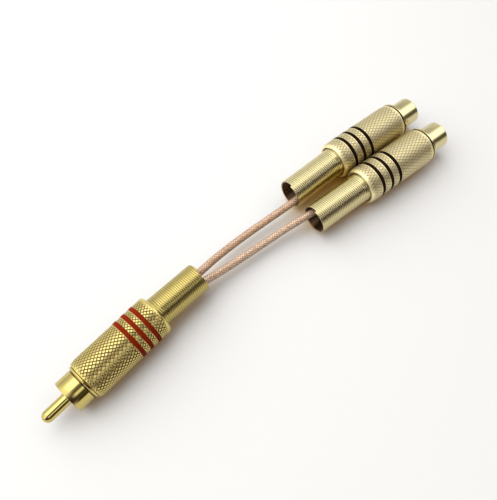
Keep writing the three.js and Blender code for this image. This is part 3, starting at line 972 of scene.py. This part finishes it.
def add_tent():
    """Makes the tent the world; the camera itself sees a plain pale backdrop"""
    world = bpy.data.worlds.new("Tent")
    bpy.context.scene.world = world
    world.use_nodes = True
    tree = world.node_tree
    tree.nodes.clear()
    path = node(tree, "ShaderNodeLightPath")
    background = node(tree, "ShaderNodeBackground", {
        "Color": mixed(tree, path.outputs["Is Camera Ray"], tent(tree), BACKDROP),
        "Strength": studio().surround,
    })
    node(tree, "ShaderNodeOutputWorld", {"Surface": background.outputs[0]})


def add_camera():
    camera = in_scene("Camera", bpy.data.cameras.new("Camera"))
    camera.data.lens = studio().lens
    camera.data.clip_start = 0.005
    camera.data.clip_end = 10
    forward = Vector(CAMERA_FORWARD).normalized()
    up = Vector(CAMERA_RIGHT).normalized().cross(forward).normalized()
    turn = Matrix((forward.cross(up), up, -forward)).transposed()
    at = Matrix.Translation(PLUG_AT + Vector(CAMERA_AT) * MM)
    camera.matrix_world = at @ turn.to_4x4()
    bpy.context.scene.camera = camera


def add_table():
    bm = bmesh.new()
    bmesh.ops.create_grid(bm, x_segments=8, y_segments=8, size=TABLE_SIZE)
    table = in_scene("Table", mesh_of("Table", bm))
    table.location.z = CAD_BOX[0].z - TABLE_GAP
    table.data.materials.append(white_table())


def add_lamp(name, at, wide, high, watts, colour=(1, 1, 1)):
    """A soft lamp aimed at the frame's origin, which the metal doesn't mirror"""
    lamp = bpy.data.lights.new(name, "AREA")
    lamp.shape = "RECTANGLE"
    lamp.size = wide
    lamp.size_y = high
    lamp.energy = watts
    lamp.color = colour
    light = in_scene(name, lamp)
    light.location = at
    light.rotation_euler = (-light.location).to_track_quat("-Z", "Y").to_euler()
    light.visible_glossy = False


# Operators


class SPLITTER_OT_studio(bpy.types.Operator):
    """Sets up the camera, the pale table and the soft light"""

    bl_idname = "splitter.studio"
    bl_label = "Studio"

    def execute(self, context):
        add_camera()
        add_table()
        add_lamp("Overhead", (-0.06, 0.24, 0.31), 0.65, 0.55, studio().overhead)
        add_lamp("Bounce", (0.05, -0.35, 0.25), 0.4, 0.4, studio().bounce, (1, 0.8, 0.6))
        add_tent()
        context.scene.view_settings.view_transform = "Standard"
        context.scene.view_settings.look = "None"
        return {"FINISHED"}


def lay_cable(name, route, material):
    points = [from_route(point) for point in route]
    line, length = smooth_line(points, 0.7 * MM)
    bm = tube_mesh(line, CABLE_RADIUS * MM)
    piece = finished(bm, name + "_braided", Matrix.Identity(4), material, [name])


class SPLITTER_OT_cables(bpy.types.Operator):
    """Lays the free cables between the springs"""

    bl_idname = "splitter.cables"
    bl_label = "Cables"

    def execute(self, context):
        browner = braided_jacket("Clear jacket over browner braid", (0.95, 0.88, 0.82))
        lay_cable("cable_a", CABLE_A_ROUTE, browner)
        lay_cable("cable_b", CABLE_B_ROUTE, braided_jacket())
        return {"FINISHED"}


def lay_cable_end(name, place, side, route, shell_length):
    """The jacket from the crimp to the free cable's end face, where its route starts"""
    across = side * CABLE_SPACING / 2
    tip = from_route(route[0])
    inward = (tip - from_route(route[1])).normalized()
    points = [
        place @ (Vector((station, across, -CABLE_DROP)) * MM)
        for station in (JACKET_END, 17, shell_length)
    ]
    points += [tip + inward * 2.5 * MM, tip + inward * 0.02 * MM]
    line, _ = smooth_line(points, 0.8 * MM)
    bm = tube_mesh(line, CABLE_RADIUS * MM)
    finished(bm, name + "_braided", Matrix.Identity(4), braided_jacket(), [name])


class SPLITTER_OT_cable_ends(bpy.types.Operator):
    """Leads the cables on through the springs into the connectors"""

    bl_idname = "splitter.cable_ends"
    bl_label = "Cable ends"

    def execute(self, context):
        plug, jacks = plug_place(), jack_places()
        for name, place, side, route, shell in (
            ("plug_cable_a_jacket", plug, 1, CABLE_A_ROUTE, PLUG_SHELL),
            ("plug_cable_b_jacket", plug, -1, CABLE_B_ROUTE, PLUG_SHELL),
            ("jack_a_cable_jacket", jacks["jack_a"], 0, CABLE_A_ROUTE[::-1], JACK_SHELL),
            ("jack_b_cable_jacket", jacks["jack_b"], 0, CABLE_B_ROUTE[::-1], JACK_SHELL),
        ):
            lay_cable_end(name, place, side, route, shell["length"])
        return {"FINISHED"}


class SPLITTER_OT_shells(bpy.types.Operator):
    """Turns and knurls the three shells"""

    bl_idname = "splitter.shells"
    bl_label = "Knurled shells"

    def execute(self, context):
        size = sizes()
        bm = knurled_shell(
            PLUG_SHELL, size.plug_knurl_starts, size.plug_knurl_period, size.plug_knurl_depth,
            size.plug_knurl_flat,
        )
        finished(bm, "plug_shell_knurled", plug_place(), gold_knurl_lightened(), ["plug_shell"])
        for name, place in jack_places().items():
            bm = knurled_shell(
                JACK_SHELL, size.jack_knurl_starts, size.jack_knurl_period, size.jack_knurl_depth,
                size.jack_knurl_flat,
            )
            finished(
                bm, name + "_shell_knurled", place, pale_gold_knurl_lightened(),
                [name + "_shell"],
            )
        return {"FINISHED"}


class SPLITTER_OT_bands(bpy.types.Operator):
    """Fills the shells' grooves with enamel"""

    bl_idname = "splitter.bands"
    bl_label = "Enamel bands"

    def execute(self, context):
        red = enamel("Red enamel", tuple(finishes().red_enamel))
        black = enamel("Black enamel", tuple(finishes().black_enamel))
        connectors = [("plug", plug_place(), PLUG_SHELL, red, "red_enamel")]
        for name, place in jack_places().items():
            connectors.append((name, place, JACK_SHELL, black, "black_enamel"))
        for name, place, shell, material, slot in connectors:
            for start, which in zip(shell["bands"], ("front", "middle", "rear")):
                low, high = start + FIT_GAP, start + BAND_WIDTH - FIT_GAP
                floor, top = SHELL_RADIUS - BAND_DEPTH + FIT_GAP, SHELL_RADIUS - BAND_SINK
                bm = turned_mesh([
                    (low, floor), (low, top - 0.1), (low + 0.06, top - 0.03), (low + 0.2, top),
                    (high - 0.2, top), (high - 0.06, top - 0.03), (high, top - 0.1), (high, floor),
                ], OUTER_STEPS)
                band = f"{name}_band_{which}"
                finished(shade(bm), band + "_enamel", place, material, [band])
        return {"FINISHED"}


class SPLITTER_OT_springs(bpy.types.Operator):
    """Winds the three springs"""

    bl_idname = "splitter.springs"
    bl_label = "Springs"

    def execute(self, context):
        size = sizes()
        springs = [
            ("plug", plug_place(), PLUG_SHELL, size.plug_wire_pitch, spring_gold(), "spring_gold"),
        ]
        for name, place in jack_places().items():
            springs.append((
                name, place, JACK_SHELL, size.jack_wire_pitch, spring_pale_gold(),
                "spring_pale_gold",
            ))
        for name, place, shell, pitch, material, slot in springs:
            free, sway = FREE_SPRINGS[name]
            bm = shade(spring_mesh(shell["length"], free, pitch, sway), 60)
            spring = name + "_spring"
            finished(bm, spring + "_wound", place, material, [spring])
        return {"FINISHED"}


class SPLITTER_OT_plug_contacts(bpy.types.Operator):
    """Turns the plug's pin, ring and insulator"""

    bl_idname = "splitter.plug_contacts"
    bl_label = "Plug contacts"

    def execute(self, context):
        place = plug_place()
        nose = [
            (PIN_TIP + 1.5 - run, radius)
            for run, radius in rounded_drop(0, 1.5, PIN_RADIUS, PIN_RADIUS, 12)
        ][::-1]
        bm = turned_mesh(nose + [
            (-0.35, PIN_RADIUS), (-0.35, 1.3), (8.5, 1.3), (8.5, 0.75), (6.1, 0.75), (6.1, 0),
        ], SMALL_STEPS, closed=False)
        finished(shade(bm), "plug_centre_pin_polished", place, gold(), ["plug_centre_pin"])
        bm = turned_mesh([
            (-RING_LENGTH, 4.2), (-RING_LENGTH, 4.53), (-5.3, 4.57), (-5.25, RING_RADIUS),
            (-1.12, RING_RADIUS), (-1.05, 4.5), (-0.98, 4.4), (-0.86, 4.4), (-0.8, 4.72),
            (-0.7, 4.94), (-0.55, 5.08), (-0.38, 5.13), (-0.2, 5.08), (-0.08, 4.95),
            (-0.05, NECK_RADIUS), (NECK_LENGTH, NECK_RADIUS), (NECK_LENGTH, 3.9), (-0.3, 3.9),
            (-0.3, 4.15), (-5.28, 4.15),
        ], OUTER_STEPS)
        # Painted shade in the ring's small groove, and on the flange's back and the neck where the
        # ring meets the shell
        paint_shade(bm, -1.1, -0.82, 4.55)
        paint_shade(bm, -0.1, 5.1, 5)
        finished(
            shade(bm, 20), "plug_ground_ring_polished", place, gold(),
            ["plug_ground_ring"],
        )
        bm = turned_mesh([(-0.3, 1.4), (-0.3, 3.85), (4.9, 3.85), (4.9, 1.4)], SMALL_STEPS)
        soften_edges(bm, 0.1)
        finished(shade(bm), "plug_insulator_moulded", place, nylon(), ["plug_insulator"])
        return {"FINISHED"}


class SPLITTER_OT_jack_contacts(bpy.types.Operator):
    """Turns the jacks' barrels and insulators, and gives their centre contacts gold"""

    bl_idname = "splitter.jack_contacts"
    bl_label = "Jack contacts"

    def execute(self, context):
        for name, place in jack_places().items():
            corner = rounded_drop(BARREL_LENGTH - 0.3, 0.3, BARREL_RADIUS, 0.3)
            rim_shade = [(-station, radius) for station, radius in corner][::-1]
            bm = turned_mesh(rim_shade + [
                (-0.95, BARREL_RADIUS), (-0.95, 5.4), (-0.88, 5.5), (-0.5, 5.5), (-0.42, 5.4),
                (-0.36, NECK_RADIUS), (NECK_LENGTH, NECK_RADIUS), (NECK_LENGTH, 3.55),
                (-7.6, 3.55), (-BARREL_LENGTH, 3.65),
            ], OUTER_STEPS)
            # Painted shade on the collar's back and the neck, where the barrel meets the shell
            paint_shade(bm, -0.45, 5.1, 5.45)
            finished(
                shade(bm), name + "_contact_barrel_polished", place, pale_gold(),
                [name + "_contact_barrel"],
            )
            bm = turned_mesh([(-7.2, 2.05), (-7.2, 3.5), (4.9, 3.5), (4.9, 2.05)], SMALL_STEPS)
            soften_edges(bm, 0.12)
            finished(
                shade(bm), name + "_insulator_moulded", place, nylon(),
                [name + "_insulator"],
            )
            dress(NODES[name + "_centre_contact"], gold())
        return {"FINISHED"}


class SPLITTER_OT_inner_parts(bpy.types.Operator):
    """Gives the pieces inside the shells their finishes"""

    bl_idname = "splitter.inner_parts"
    bl_label = "Inner parts"

    def execute(self, context):
        sleeve = grained("Clear sleeve", (0.72, 0.72, 0.68), (0.66, 0.66, 0.62), 0.25, coat=0.3)
        braid = grained(
            "Copper braid", (0.75, 0.45, 0.3), (0.5, 0.28, 0.18), 0.35, depth=0.5, scale=3000.0,
            metallic=1.0,
        )
        core = grained("White dielectric", (0.88, 0.87, 0.84), (0.82, 0.81, 0.78), 0.4)
        conductor = grained(
            "Tinned conductor", (0.7, 0.7, 0.7), (0.5, 0.5, 0.5), 0.3, metallic=1.0
        )
        for name, cad in NODES.items():
            if cad.hide_render or name.endswith("_centre_contact"):
                continue
            for ending, material in (
                ("_ground_lug", tinned()), ("_inner_sleeve", sleeve), ("_braid", braid),
                ("_dielectric", core), ("_conductor", conductor),
            ):
                if name.endswith(ending):
                    dress(cad, material)
        return {"FINISHED"}


OPERATORS = (
    SPLITTER_OT_studio,
    SPLITTER_OT_cables,
    SPLITTER_OT_cable_ends,
    SPLITTER_OT_shells,
    SPLITTER_OT_bands,
    SPLITTER_OT_springs,
    SPLITTER_OT_plug_contacts,
    SPLITTER_OT_jack_contacts,
    SPLITTER_OT_inner_parts,
)


class SPLITTER_PT_panel(bpy.types.Panel):
    """Shows the settings and the operators in the sidebar"""

    bl_idname = "SPLITTER_PT_panel"
    bl_label = "Phono splitter cable"
    bl_space_type = "VIEW_3D"
    bl_region_type = "UI"
    bl_category = "Splitter"

    def draw(self, context):
        for group in (sizes(), finishes(), studio()):
            box = self.layout.box()
            for name in group.bl_rna.properties.keys():
                if name not in {"rna_type", "name"}:
                    box.prop(group, name)
        for operator in OPERATORS:
            self.layout.operator(operator.bl_idname)


GROUPS = (
    ("splitter_sizes", SPLITTER_PG_sizes),
    ("splitter_finishes", SPLITTER_PG_finishes),
    ("splitter_studio", SPLITTER_PG_studio),
)


def register():
    for name, group in GROUPS:
        bpy.utils.register_class(group)
        setattr(bpy.types.Scene, name, PointerProperty(type=group))
    for operator in OPERATORS:
        bpy.utils.register_class(operator)
    bpy.utils.register_class(SPLITTER_PT_panel)


def unregister():
    bpy.utils.unregister_class(SPLITTER_PT_panel)
    for operator in reversed(OPERATORS):
        bpy.utils.unregister_class(operator)
    for name, group in reversed(GROUPS):
        delattr(bpy.types.Scene, name)
        bpy.utils.unregister_class(group)


def main():
    register()
    bpy.ops.splitter.studio()
    bpy.ops.splitter.cables()
    bpy.ops.splitter.cable_ends()
    bpy.ops.splitter.shells()
    bpy.ops.splitter.bands()
    bpy.ops.splitter.springs()
    bpy.ops.splitter.plug_contacts()
    bpy.ops.splitter.jack_contacts()
    bpy.ops.splitter.inner_parts()


if __name__ == "__main__":
    main()
